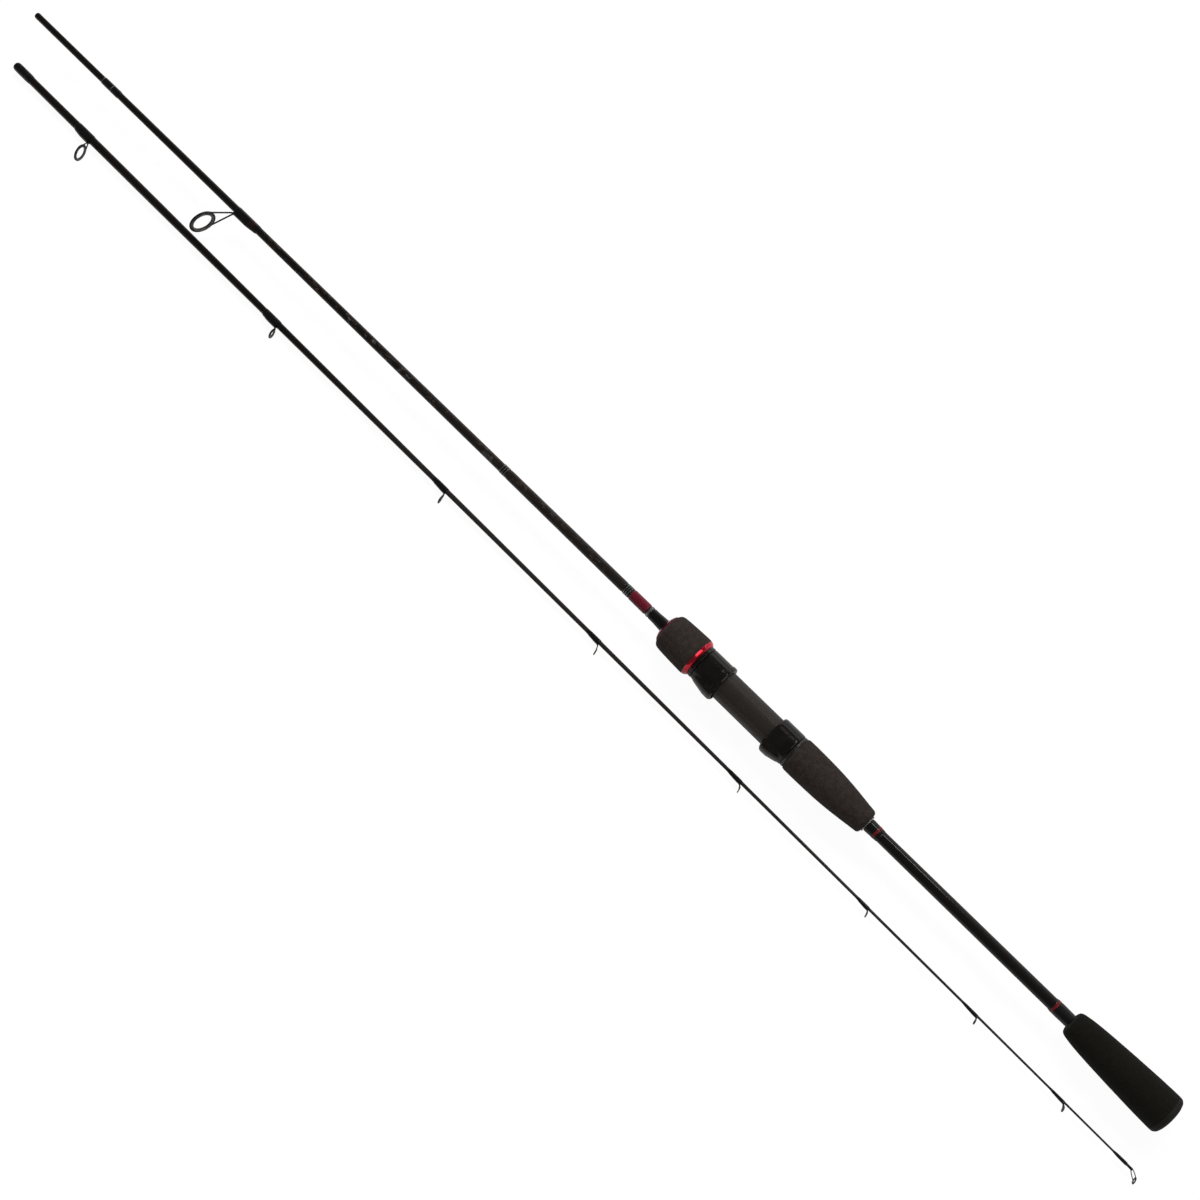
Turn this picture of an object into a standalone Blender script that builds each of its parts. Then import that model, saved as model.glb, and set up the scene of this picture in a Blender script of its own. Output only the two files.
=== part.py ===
"""Two-piece spinning rod, 2.10 m, taken down, with its two sections lying side by side.

Frame: metres, +Z up. The origin lies on the flat deck that the reel's foot stands on, near the
deck's middle. +X runs along the butt section towards its upper end, and +Y is the side that the
reel and the line guides face. The tip section lies at +Y, its tip pointing along -X.

Each section has its own frame: local +Z runs along its axis towards its tip end, and local +X
points to its guides. Along the butt section local Z equals world X; along the tip section it is
the distance from the mouth. Dimensions are in millimetres.
"""
import math

import bmesh
import bpy
import numpy as np
from mathutils import Matrix, Vector

MM = 0.001

# ---- driving dimensions ------------------------------------------------------------------------
MALE_END = 741.05       # upper end of the butt section
BUTT_END = -350.6       # lower end of the butt section
STOP = 661.7            # how far the tip section slides on: its mouth stops here
MOUTH_X = 724.8         # where the loose tip section's mouth lies
TIP_Y, TIP_Z = 36.0, -10.9  # axis of the tip section, from the butt section's axis and from z = 0
TIP_ROLL = 15.0         # degrees by which the loose tip section's guides lean up
TIP_END = 1080.8        # end of the tip-top's tube

FINE, MID, COARSE = 12, 16, 20  # sides of thin, medium and thick turned pieces
SHARP_ANGLE = math.radians(35)

GAP = 0.12              # thread and trim lie this far off the blank, so that neighbours stay apart
FOAM_GAP = 0.35         # the foam grips' clearance round the blank
ARBOR_GAP = 0.2         # the arbors' clearance round the blank

# Outer radii of the two blanks: place along the section, radius.
BUTT_PROFILE = [
    (-345.0, 4.05), (-250.0, 3.98), (-118.0, 3.90), (-40.0, 3.75), (66.0, 3.55),
    (92.0, 3.46), (113.0, 3.38), (231.0, 3.12), (303.0, 3.03), (377.0, 2.92),
    (454.0, 2.75), (533.0, 2.60), (620.0, 2.50), (663.0, 2.46), (740.2, 2.42),
]
TIP_PROFILE = [
    (0.0, 2.82), (30.0, 2.86), (70.0, 2.96), (125.0, 2.96), (165.0, 2.88), (205.0, 2.70),
    (280.0, 2.42), (360.0, 2.14), (470.0, 1.74), (540.0, 1.58), (610.0, 1.43), (675.0, 1.28),
    (740.0, 1.14), (800.0, 1.00), (870.0, 0.86), (940.0, 0.74), (1010.0, 0.64), (1080.0, 0.56),
]


def radius_at(profile, z):
    for (z0, r0), (z1, r1) in zip(profile, profile[1:]):
        if z <= z1:
            return r0 + (r1 - r0) * (z - z0) / (z1 - z0)
    return profile[-1][1]


def butt_r(z):
    return radius_at(BUTT_PROFILE, z)


# ---- scene and materials -----------------------------------------------------------------------
def clear_scene():
    for obj in list(bpy.data.objects):
        bpy.data.objects.remove(obj, do_unlink=True)


def new_collection(name):
    collection = bpy.data.collections.new(name)
    bpy.context.scene.collection.children.link(collection)
    return collection


def make_material(name, colour, roughness, metallic=0.0):
    material = bpy.data.materials.new(name)
    material.use_nodes = True
    shader = material.node_tree.nodes["Principled BSDF"]
    shader.inputs["Base Color"].default_value = (*colour, 1.0)
    shader.inputs["Roughness"].default_value = roughness
    shader.inputs["Metallic"].default_value = metallic
    material.diffuse_color = (*colour, 1.0)
    return material


clear_scene()
PARTS = new_collection("spinning_rod")
CUTTERS = new_collection("spinning_rod_cutters")

CARBON = make_material("carbon_blank", colour=(0.030, 0.028, 0.026), roughness=0.35)
EPOXY = make_material("thread_and_epoxy", colour=(0.010, 0.009, 0.009), roughness=0.15)
EVA = make_material("eva_foam", colour=(0.055, 0.048, 0.045), roughness=0.85)
EVA_BUTT = make_material("eva_foam_butt", colour=(0.018, 0.017, 0.014), roughness=0.85)
RUBBER = make_material("cap_rubber", colour=(0.020, 0.019, 0.017), roughness=0.7)
SATIN = make_material("seat_plastic", colour=(0.045, 0.042, 0.040), roughness=0.45)
GLOSS = make_material("hood_plastic", colour=(0.014, 0.013, 0.013), roughness=0.15)
RED = make_material("red_anodised", colour=(0.75, 0.03, 0.04), roughness=0.25, metallic=1.0)
MAROON = make_material("maroon_lacquer", colour=(0.22, 0.012, 0.02), roughness=0.2)
SILVER = make_material("silver_trim", colour=(0.62, 0.60, 0.57), roughness=0.3, metallic=1.0)
STEEL = make_material("guide_frame", colour=(0.10, 0.10, 0.10), roughness=0.3, metallic=1.0)
CERAMIC = make_material("guide_ring", colour=(0.045, 0.043, 0.043), roughness=0.25)
ARBOR = make_material("foam_arbor", colour=(0.35, 0.33, 0.30), roughness=0.9)


# ---- placing -----------------------------------------------------------------------------------
def section_frame(name, origin, along, guides):
    """An empty at origin (mm): local +Z runs along the section, local +X to its guides."""
    z = Vector(along).normalized()
    x = Vector(guides).normalized()
    axes = Matrix((x, z.cross(x), z)).transposed().to_4x4()
    frame = bpy.data.objects.new(name, None)
    frame.matrix_world = Matrix.Translation(Vector(origin) * MM) @ axes
    PARTS.objects.link(frame)
    return frame


def place(obj, section, material):
    obj.data.materials.clear()
    obj.data.materials.append(material)
    for collection in list(obj.users_collection):
        collection.objects.unlink(obj)
    PARTS.objects.link(obj)
    obj.parent = section
    return obj


def place_cutter(obj, section):
    CUTTERS.objects.link(obj)
    obj.parent = section
    obj.hide_render = True
    obj.display_type = "WIRE"
    return obj


# ---- turned pieces: outlines are (place along the axis, radius) --------------------------------
def lathe(name, points, sides, closed):
    """An outline turned round the section's axis."""
    edges = [(i, i + 1) for i in range(len(points) - 1)]
    if closed:
        edges.append((len(points) - 1, 0))
    mesh = bpy.data.meshes.new(name)
    mesh.from_pydata([(r * MM, 0.0, z * MM) for z, r in points], edges, [])
    obj = bpy.data.objects.new(name, mesh)
    screw = obj.modifiers.new("turned", "SCREW")
    screw.axis = "Z"
    screw.angle = 2 * math.pi
    screw.screw_offset = 0.0
    screw.steps = screw.render_steps = sides
    screw.use_merge_vertices = True
    screw.merge_threshold = 0.00001
    screw.use_smooth_shade = True
    return obj


def tube(name, section, material, sides, outer, inner):
    """outer runs from the high end to the low end, inner back up from the low end."""
    return place(lathe(name, outer + inner, sides, closed=True), section, material)


def sleeve(name, section, material, sides, outer, bore):
    """A tube with a bore of one radius."""
    return tube(name, section, material, sides, outer, [(outer[-1][0], bore), (outer[0][0], bore)])


def plain_ring(name, section, material, sides, low, high, radius, bore, chamfer=0.0):
    """A straight sleeve, its outer corners cut by chamfer."""
    if chamfer:
        outer = [(high, radius - chamfer), (high - chamfer, radius),
                 (low + chamfer, radius), (low, radius - chamfer)]
    else:
        outer = [(high, radius), (low, radius)]
    return sleeve(name, section, material, sides, outer, bore)


def solid(name, section, material, sides, points):
    """points run from the axis at the high end, down the outside, to the axis again."""
    return place(lathe(name, points, sides, closed=False), section, material)


# ---- skinned pieces, wires and Booleans --------------------------------------------------------
def skin_mesh(name, rings, closed):
    """A skin through rings of equal point count.

    When closed, the last ring joins the first, otherwise each end gets a flat face.
    """
    bm = bmesh.new()
    rows = [[bm.verts.new(Vector(p) * MM) for p in ring] for ring in rings]
    count = len(rows[0])
    next_rows = rows[1:] + rows[:1] if closed else rows[1:]
    for row, following in zip(rows, next_rows):
        for j in range(count):
            k = (j + 1) % count
            bm.faces.new((row[j], row[k], following[k], following[j]))
    if not closed:
        bm.faces.new(rows[0])
        bm.faces.new(rows[-1])
    bmesh.ops.recalc_face_normals(bm, faces=bm.faces)
    mesh = bpy.data.meshes.new(name)
    bm.to_mesh(mesh)
    bm.free()
    return mesh


def loft(name, section, material, rings):
    mesh = skin_mesh(name, rings, closed=True)
    mesh.shade_smooth()
    mesh.set_sharp_from_angle(angle=SHARP_ANGLE)
    return place(bpy.data.objects.new(name, mesh), section, material)


def capped(name, section, rings):
    """A solid skin with flat ends, used as a Boolean tool."""
    mesh = skin_mesh(name, rings, closed=False)
    return place_cutter(bpy.data.objects.new(name, mesh), section)


def box(name, section, x, y, z):
    """A Boolean tool that spans the (low, high) pairs x, y and z."""
    corners = [(x[0], y[0]), (x[1], y[0]), (x[1], y[1]), (x[0], y[1])]
    return capped(name, section, [[(*corner, end) for corner in corners] for end in z])


def circle(z, radius, sides, centre_x=0.0):
    angles = [2 * math.pi * j / sides for j in range(sides)]
    return [(centre_x + radius * math.cos(a), radius * math.sin(a), z) for a in angles]


def boolean(obj, other, operation):
    modifier = obj.modifiers.new(operation.lower(), "BOOLEAN")
    modifier.operation = operation
    modifier.solver = "EXACT"
    modifier.object = other


def wire_loop(name, section, points, radius, resolution):
    """A round steel wire bent into a closed loop."""
    curve = bpy.data.curves.new(name, "CURVE")
    curve.dimensions = "3D"
    curve.bevel_depth = radius * MM
    curve.bevel_resolution = resolution
    curve.render_resolution_u = 0
    spline = curve.splines.new("POLY")
    spline.points.add(len(points) - 1)
    for spline_point, p in zip(spline.points, points):
        spline_point.co = (p[0] * MM, p[1] * MM, p[2] * MM, 1.0)
    spline.use_cyclic_u = True
    return place(bpy.data.objects.new(name, curve), section, STEEL)


def ceramic_ring(name, section, centre, lean, major, minor, around, across):
    """A torus whose plane holds the section's local Y and the leaning direction."""
    bpy.ops.mesh.primitive_torus_add(major_radius=major * MM, minor_radius=minor * MM,
                                     major_segments=around, minor_segments=across)
    obj = bpy.context.active_object
    obj.name = obj.data.name = name
    obj.data.shade_smooth()
    obj.location = centre * MM
    obj.rotation_euler = (0.0, -lean, 0.0)
    return place(obj, section, CERAMIC)


def leaning_arc(centre, lean, radius, angles):
    """Points round centre; angle 0 points away from the blank."""
    out = Vector((math.cos(lean), 0.0, math.sin(lean)))
    side = Vector((0.0, 1.0, 0.0))
    return [centre + radius * (math.cos(a) * out + math.sin(a) * side) for a in angles]


def mirrored_back(points):
    """The points in reverse order on the other side of the local XZ plane."""
    return [Vector((p.x, -p.y, p.z)) for p in reversed(points)]


# ---- the two sections --------------------------------------------------------------------------
DECK_HEIGHT = 10.65     # of the reel seat's flat deck above the butt section's axis
ROLL = math.radians(TIP_ROLL)
BUTT = section_frame("butt_section", (0, -DECK_HEIGHT, 0), along=(1, 0, 0), guides=(0, 1, 0))
TIP = section_frame("tip_section", (MOUTH_X, TIP_Y - DECK_HEIGHT, TIP_Z),
                    along=(-1, 0, 0), guides=(0, math.cos(ROLL), math.sin(ROLL)))


# ---- butt section: blank, windings and trim ----------------------------------------------------
def butt_blank():
    end_r = butt_r(MALE_END)
    walls = np.linspace(1.2, 0.8, len(BUTT_PROFILE))
    inner = [(z, r - wall) for (z, r), wall in zip(BUTT_PROFILE[:-1], walls)]
    tube("butt_blank", BUTT, CARBON, MID,
         outer=[(MALE_END, end_r - 0.5)] + BUTT_PROFILE[::-1],
         inner=inner + [(MALE_END, end_r - 0.9)])


def butt_layer(name, material, stations):
    """A layer that follows the butt blank's taper; stations are (place, thickness), high to low."""
    tube(name, BUTT, material, MID,
         outer=[(z, butt_r(z) + GAP + thickness) for z, thickness in stations],
         inner=[(z, butt_r(z) + GAP) for z in (stations[-1][0], stations[0][0])])


def grooved_winding(name, ring_name, low, high, groove_low, groove_high, radii, ring_radius):
    """A winding with a groove that holds a red metal ring.

    radii are those at the high end, beside the groove and at the low end.
    """
    top, beside, bottom = radii
    groove_r = beside - 0.25
    wall_slant = 0.01
    ring_inset = 0.2
    ring_thickness = 0.35
    outer = [
        (high, top - 0.1), (high - 0.5, top),
        (groove_high, beside), (groove_high - wall_slant, groove_r),
        (groove_low + wall_slant, groove_r), (groove_low, beside),
        (low + 1.2, bottom + 0.1), (low, bottom),
    ]
    sleeve(name, BUTT, EPOXY, MID, outer, bore=butt_r(low) + GAP)
    plain_ring(ring_name, BUTT, RED, MID, groove_low + ring_inset, groove_high - ring_inset,
               ring_radius, ring_radius - ring_thickness)


butt_blank()
butt_layer("ferrule_stop_winding", EPOXY,
           [(STOP, 0.077), (STOP - 2.0, 0.22), (644.8, 0.22), (642.8, 0.077)])
butt_layer("decor_sleeve", CARBON, [(224.8, 0.2), (112.8, 0.2)])
sleeve("fore_winding", BUTT, EPOXY, MID,
       outer=[(87.6, 3.98), (84.5, 4.02), (80.0, 4.27), (76.5, 4.5), (66.0, 4.5), (65.2, 4.2)],
       bore=butt_r(65.2) + GAP)
grooved_winding("rear_trim_winding", "rear_red_ring", low=-117.2, high=-106.6,
                groove_low=-114.2, groove_high=-112.2, radii=(4.66, 4.52, 4.12),
                ring_radius=4.72)
grooved_winding("butt_grip_winding", "butt_red_ring", low=-272.3, high=-258.0,
                groove_low=-261.6, groove_high=-259.4, radii=(4.35, 4.6, 4.46),
                ring_radius=4.78)

# Trim rings: name, material, sides, low end, high end, radius, bore radius, chamfer.
TRIM_RINGS = [
    ("front_trim_band", SILVER, MID, 225.2, 231.4, 3.52, butt_r(225.2) + GAP, 0.12),
    ("rear_trim_band", SILVER, MID, 106.3, 112.0, 3.78, butt_r(107.2) + GAP, 0.12),
    ("maroon_band", MAROON, MID, 90.9, 105.9, 3.86, butt_r(91.9) + GAP, 0.1),
    ("silver_ring", SILVER, MID, 88.0, 89.8, 3.98, butt_r(88.0) + GAP, 0.1),
    ("fixed_hood_ring", SILVER, COARSE, -42.6, -40.5, 11.8, 7.0, 0.3),
    ("rear_winding_check", SILVER, COARSE, -106.2, -105.3, 6.2, butt_r(-106.8) + 0.15, 0.3),
]
for ring_name, *ring_spec in TRIM_RINGS:
    plain_ring(ring_name, BUTT, *ring_spec)

# ---- line guides -------------------------------------------------------------------------------
FOOT_SHARE = 0.68       # share of a winding's length that the foot fills; the rest tapers down
FOOT_GAP = 0.10         # between the blank and the foot's wires
RING_LEAN = math.radians(15.0)  # guide rings lean towards the tip
STRIPPER_LEAN = math.radians(12.0)

# Guides: place of the foot's end nearer the tip, height of the ring's centre above the axis,
# how far the ring stands ahead of the foot, outer radius of the ring's frame, wire radius,
# insert's tube radius, length of the winding.
STRIPPER = (508.9, 24.0, 9.9, 10.1, 0.62, 0.94, 24.0)
GUIDES = [
    (90.4, 14.0, 4.6, 6.60, 0.46, 0.66, 17.5),
    (301.0, 8.6, 2.7, 3.75, 0.40, 0.58, 15.8),
    (476.7, 8.2, 1.8, 2.75, 0.35, 0.46, 13.3),
    (626.0, 7.2, 2.6, 2.30, 0.30, 0.34, 11.7),
    (756.2, 5.0, 2.0, 2.10, 0.27, 0.31, 11.9),
    (867.3, 4.2, 1.2, 1.90, 0.27, 0.28, 10.3),
    (958.0, 3.9, 0.6, 1.85, 0.28, 0.28, 12.3),
    (1027.8, 3.9, 1.6, 1.85, 0.29, 0.28, 11.8),
]


def foot_winding(name, section, low, foot_low, foot_end, blank_r, foot_top, sides):
    """A winding that widens from the blank to cover the guide's foot on the +X side."""
    on_blank = blank_r + GAP
    bore = (on_blank + foot_top) / 2
    shift = (foot_top - on_blank) / 2
    thick = 0.2
    # place, centre's X, bore radius, wall thickness
    stations = [
        (low, 0.0, on_blank, thick / 2),
        (foot_low - 0.8, shift, bore, thick),
        (foot_end - 0.5, shift, bore, thick),
    ]
    outside = [circle(z, r + wall, sides, x) for z, x, r, wall in stations]
    inside = [circle(z, r, sides, x) for z, x, r, _ in reversed(stations)]
    loft(name, section, EPOXY, outside + inside)


def guide(prefix, section, profile, spec, lean, sides, steps):
    """A single-foot guide: wire frame with foot and two legs, ceramic insert and winding."""
    foot_end, height, ahead, frame_r, wire, insert, length = spec
    large = steps > 12  # the large guides get rounder wire and inserts
    blank_r = max(radius_at(profile, foot_end), radius_at(profile, foot_end - length))
    foot_x = blank_r + FOOT_GAP + wire
    foot_y = wire + 0.05
    foot_low = foot_end - length * FOOT_SHARE
    centre = Vector((height, 0.0, foot_end + ahead))
    wire_r = frame_r - wire
    # Seen along the blank, the legs meet the frame's ring nearly at a tangent.
    start = math.pi - math.acos(wire_r / (height - foot_x))
    angles = [start - 2 * start * i / steps for i in range(steps + 1)]
    leg = [Vector((foot_x, foot_y, foot_low)), Vector((foot_x, foot_y, foot_end))]
    path = leg + leaning_arc(centre, lean, wire_r, angles) + mirrored_back(leg)
    wire_loop(prefix + "_frame", section, path, wire, resolution=1 if large else 0)
    # The insert fits inside the flats of the many-sided frame.
    insert_r = wire_r * math.cos(start / steps) - wire - insert - 0.07
    ceramic_ring(prefix + "_ring", section, centre, lean, insert_r, insert,
                 around=steps + 2, across=6 if large else 5)
    foot_winding(prefix + "_winding", section, foot_end - length, foot_low, foot_end, blank_r,
                 foot_top=foot_x + wire + 0.22, sides=sides)


guide("stripper_guide", BUTT, BUTT_PROFILE, STRIPPER, STRIPPER_LEAN, sides=MID, steps=18)
for number, spec in enumerate(GUIDES, 1):
    guide(f"guide_{number}", TIP, TIP_PROFILE, spec, RING_LEAN,
          sides=FINE, steps=16 if number == 1 else 10)


# ---- tip section: blank and ferrule winding ----------------------------------------------------
def tip_blank():
    end = 1078.0
    ferrule_bore = 2.54
    ferrule_depth = 86.0
    outer = [(end, 0.0), (end, 0.40)]
    outer += [(min(z, end - 0.5), r) for z, r in reversed(TIP_PROFILE)]
    inner = [
        (0.0, ferrule_bore), (ferrule_depth, ferrule_bore - 0.04), (ferrule_depth + 30, 1.9),
        (300.0, 1.45), (560.0, 0.75), (700.0, 0.0),
    ]
    solid("tip_blank", TIP, CARBON, FINE, outer + inner)


tip_blank()
sleeve("ferrule_winding", TIP, EPOXY, FINE,
       outer=[(19.0, 3.05), (17.0, 3.32), (9.0, 3.38), (2.0, 3.34), (0.2, 3.1)], bore=2.97)

# ---- tip-top -----------------------------------------------------------------------------------
TOP_TUBE_R, TOP_TUBE_BORE = 0.82, 0.68
TOP_TUBE_LOW = 1068.5   # the tube's open end
TOP_BORE_END = 1078.4   # closed end of its bore


def tip_top_frame_and_ring():
    wire, frame_r, insert = 0.24, 2.35, 0.34
    centre = Vector((4.3, 0.0, TIP_END + 4.4))
    wire_r = frame_r - wire
    saddle = TOP_TUBE_R + 0.08 + wire
    # The wire bends round half of the tube, then its legs spread to the ring's sides.
    leg = [Vector((saddle * math.cos(a), saddle * math.sin(a), TIP_END - 2.6))
           for a in map(math.radians, (0, 30, 60, 90))]
    leg += [Vector((0.0, saddle, TIP_END - 0.4)), Vector((0.9, 1.55, TIP_END + 0.4))]
    angles = [math.radians(105 - 21 * i) for i in range(11)]
    path = leg + leaning_arc(centre, RING_LEAN, wire_r, angles) + mirrored_back(leg[1:])
    wire_loop("tip_top_frame", TIP, path, wire, resolution=0)
    ceramic_ring("tip_top_ring", TIP, centre, RING_LEAN, wire_r - wire - insert - 0.08, insert,
                 around=12, across=5)


solid("tip_top_tube", TIP, STEEL, FINE, [
    (TIP_END, 0.0), (TIP_END, TOP_TUBE_R - 0.2), (TIP_END - 0.2, TOP_TUBE_R),
    (TOP_TUBE_LOW, TOP_TUBE_R), (TOP_TUBE_LOW, TOP_TUBE_BORE),
    (TOP_BORE_END, TOP_TUBE_BORE), (TOP_BORE_END, 0.0),
])
tube("tip_top_winding", TIP, EPOXY, FINE,
     outer=[(1076.4, 1.02), (1075.4, 1.10), (1068.8, 1.08), (1067.4, 0.98), (1065.6, 0.78)],
     inner=[(1065.6, 0.69), (1067.5, 0.69), (1067.9, 0.92), (1076.4, 0.92)])
tip_top_frame_and_ring()

# ---- reel seat ---------------------------------------------------------------------------------
SEAT = (-38.0, 64.0)
SEAT_BORE = 6.3
BARREL_R = 9.9
DECK = (-22.9, 20.4)
DECK_HALF = 3.6         # half width of the deck's flat; its sides slope down from there
THREAD = (33.5, 61.0)
THREAD_PITCH = 2.5
THREAD_CREST, THREAD_ROOT = 9.2, 8.3
ROWS_PER_PITCH = 4
SHOULDER = 0.02         # length of the step from the barrel down to the thread's root


def thread_ring(z):
    """One ring of the right-hand thread, which fades out over a pitch at each end."""
    fade = min(1.0, (z - THREAD[0]) / THREAD_PITCH, (THREAD[1] - z) / THREAD_PITCH)
    ring = []
    for j in range(COARSE):
        turn = j / COARSE
        phase = (z - THREAD[0]) / THREAD_PITCH - turn
        wave = 0.5 - 0.5 * math.cos(2 * math.pi * phase)
        radius = THREAD_ROOT + (THREAD_CREST - THREAD_ROOT) * fade * wave
        angle = 2 * math.pi * turn
        ring.append((radius * math.cos(angle), radius * math.sin(angle), z))
    return ring


def reel_seat():
    thread_start = THREAD[0] + SHOULDER
    count = round((THREAD[1] - THREAD[0]) / (THREAD_PITCH / ROWS_PER_PITCH))
    step = (THREAD[1] - thread_start) / count
    rings = [circle(z, BARREL_R, COARSE) for z in (SEAT[0], THREAD[0])]
    rings.append(circle(thread_start, THREAD_ROOT, COARSE))
    rings += [thread_ring(thread_start + i * step) for i in range(1, count + 1)]
    rings.append(circle(SEAT[1], THREAD_ROOT, COARSE))
    rings += [circle(z, SEAT_BORE, COARSE) for z in reversed(SEAT)]
    seat = loft("reel_seat_body", BUTT, SATIN, rings)

    half_deck = [(7.2, -6.5), (8.2, -6.5), (9.75, -6.0), (DECK_HEIGHT, -DECK_HALF)]  # x, y
    outline = half_deck + [(x, -y) for x, y in reversed(half_deck)]
    boolean(seat, capped("deck_block", BUTT, [[(x, y, z) for x, y in outline] for z in DECK]),
            "UNION")
    rail = box("key_rail", BUTT, x=(8.5, 10.35), y=(-3.0, 3.0), z=(DECK[1] - 1.0, THREAD[0] - 0.5))
    boolean(seat, rail, "UNION")


reel_seat()
for arbor_name, low, high in (("front_arbor", 22.0, 60.0), ("rear_arbor", -37.0, -2.0)):
    plain_ring(arbor_name, BUTT, ARBOR, MID, low, high, SEAT_BORE - 0.3, butt_r(low) + ARBOR_GAP)

# ---- hoods -------------------------------------------------------------------------------------
HOOD_R = 12.15
HOOD_BORE = 10.25
HOOD_TOP = 14.4         # height of the foot pocket's outside above the axis
# The pocket for the reel's foot: how deep each part goes, half its width, its top above the axis.
POCKET = [("flanges", 7.0, 6.9, 11.6), ("mouth", 6.8, 5.2, 13.0), ("end", 12.0, 4.6, 11.5)]


def pocket_outline(top, half):
    """Cross-section (x, y) of the raised pocket's outside."""
    side = [(6.0, -half), (top - 2.4, -half - 0.6), (top - 0.5, -half + 1.9), (top, -1.7)]
    return side + [(x, -y) for x, y in reversed(side)]


def hood(name, mouth, back, rim_r, keyway):
    """A short tube with a raised pocket that takes one end of the reel's foot."""
    sign = 1.0 if back > mouth else -1.0
    low, high = sorted((mouth, back))
    length = high - low
    # depth from the mouth, radius: a thick rim, then the plain tube
    profile = [(0.0, rim_r - 0.7), (0.7, rim_r), (3.3, rim_r), (3.8, HOOD_R),
               (length - 0.6, HOOD_R), (length, HOOD_R - 0.5)]
    outline = [(mouth + sign * depth, r) for depth, r in profile]
    if sign > 0:
        outline.reverse()
    points = [(outline[0][0], 0.0)] + outline + [(outline[-1][0], 0.0)]
    body = solid(name, BUTT, GLOSS, COARSE, points)

    # depth from the mouth, top, half width: highest near the mouth, running down at the back
    stations = [
        (0.25, HOOD_TOP - 0.9, 7.4), (2.2, HOOD_TOP, 7.9), (6.5, HOOD_TOP - 0.15, 7.8),
        (length - 3.0, HOOD_R + 0.45, 6.6), (length - 0.9, HOOD_R - 0.9, 5.2),
    ]
    rings = [[(x, y, mouth + sign * depth) for x, y in pocket_outline(top, half)]
             for depth, top, half in stations]
    boolean(body, capped(name + "_pocket_outside", BUTT, rings), "UNION")

    bore_points = [(high + 1, 0.0), (high + 1, HOOD_BORE), (low - 1, HOOD_BORE), (low - 1, 0.0)]
    bore = lathe(name + "_bore", bore_points, COARSE, closed=False)
    boolean(body, place_cutter(bore, BUTT), "DIFFERENCE")
    if keyway:
        slot = box(name + "_keyway", BUTT, x=(7.4, 10.75), y=(-3.4, 3.4), z=(low - 2.0, high + 2.0))
        boolean(body, slot, "DIFFERENCE")
    for i, (part, depth, half, top) in enumerate(POCKET):
        # Each tool starts a little differently, so that no two share a face's plane.
        ends = sorted((mouth - sign * (2.3 + 0.3 * i), mouth + sign * depth))
        pocket = box(f"{name}_pocket_{part}", BUTT, x=(6.0 + 0.2 * i, top), y=(-half, half), z=ends)
        boolean(body, pocket, "DIFFERENCE")


hood("movable_hood", mouth=20.7, back=39.7, rim_r=12.6, keyway=True)
hood("fixed_hood", mouth=-23.3, back=-40.2, rim_r=HOOD_R + 0.1, keyway=False)

# ---- locking nut with the fore grip ------------------------------------------------------------
NUT_BORE = THREAD_CREST + 0.3
NUT_SLEEVE_R = 11.0
NUT_TRIM_BORE = NUT_SLEEVE_R + 0.3  # of the ring and the grip on the nut
tube("lock_nut", BUTT, GLOSS, COARSE,
     outer=[(71.3, 10.6), (70.9, NUT_SLEEVE_R), (42.7, NUT_SLEEVE_R), (42.6, 12.2), (40.4, 12.2),
            (40.0, 11.9)],
     inner=[(40.0, NUT_BORE + 0.4), (40.8, NUT_BORE), (68.6, NUT_BORE), (69.0, 5.2), (71.3, 5.2)])
sleeve("nut_red_ring", BUTT, RED, COARSE,
       outer=[(45.8, 13.9), (45.3, 14.05), (44.1, 13.4), (43.3, 12.8), (42.9, 12.3)],
       bore=NUT_TRIM_BORE)
tube("fore_grip", BUTT, EVA, COARSE,
     outer=[(72.45, 6.75), (72.5, 8.1), (73.3, 8.75), (72.0, 11.2), (70.5, 12.9), (68.4, 13.4),
            (64.2, 13.75), (56.0, 14.15), (46.8, 14.35), (46.1, 13.95)],
     inner=[(46.1, NUT_TRIM_BORE), (71.65, NUT_TRIM_BORE), (71.65, 6.75)])
tube("fore_trim_ring", BUTT, MAROON, COARSE,
     outer=[(75.0, 5.6), (74.5, 6.9), (73.7, 8.2), (73.0, 8.1)],
     inner=[(72.9, 7.3), (73.5, 5.2), (75.0, 5.2)])

# ---- grips behind the seat, and the butt cap ---------------------------------------------------
sleeve("rear_grip", BUTT, EVA, COARSE,
       outer=[(-42.9, 11.4), (-43.6, 12.3), (-47.5, 12.65), (-53.0, 12.63), (-63.0, 12.45),
              (-70.5, 12.2), (-78.0, 11.7), (-85.0, 11.0), (-92.5, 10.1), (-100.0, 9.2),
              (-103.3, 8.7), (-104.6, 7.8), (-105.0, 6.4)],
       bore=butt_r(-105.0) + FOAM_GAP)
sleeve("butt_grip", BUTT, EVA_BUTT, COARSE,
       outer=[(-273.1, 5.2), (-273.8, 7.0), (-275.5, 8.65), (-277.8, 9.3), (-281.8, 9.96),
              (-290.9, 10.87), (-304.4, 11.75), (-320.0, 12.55), (-333.0, 13.1), (-345.3, 13.36)],
       bore=butt_r(-346.0) + FOAM_GAP)
solid("butt_cap", BUTT, RUBBER, COARSE, [
    (-345.6, 0.0), (-345.6, 13.33), (-347.3, 12.7), (-348.7, 11.1), (-349.8, 9.1),
    (BUTT_END, 6.8), (BUTT_END, 0.0),
])
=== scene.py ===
"""Looks of a two-piece spinning rod, built round its CAD parts.

The rod lies along world X with the reel seat's deck and the guides towards +Y. The butt section
points to +X; the tip section lies beside it and points to -X. Each section is modelled in its own
frame: z along the section, x out towards the guides. Lengths are millimetres until a mesh is
made; materials, lights and the camera are in metres.
"""
import math

import bpy
import numpy as np
from mathutils import Matrix, Vector


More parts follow.
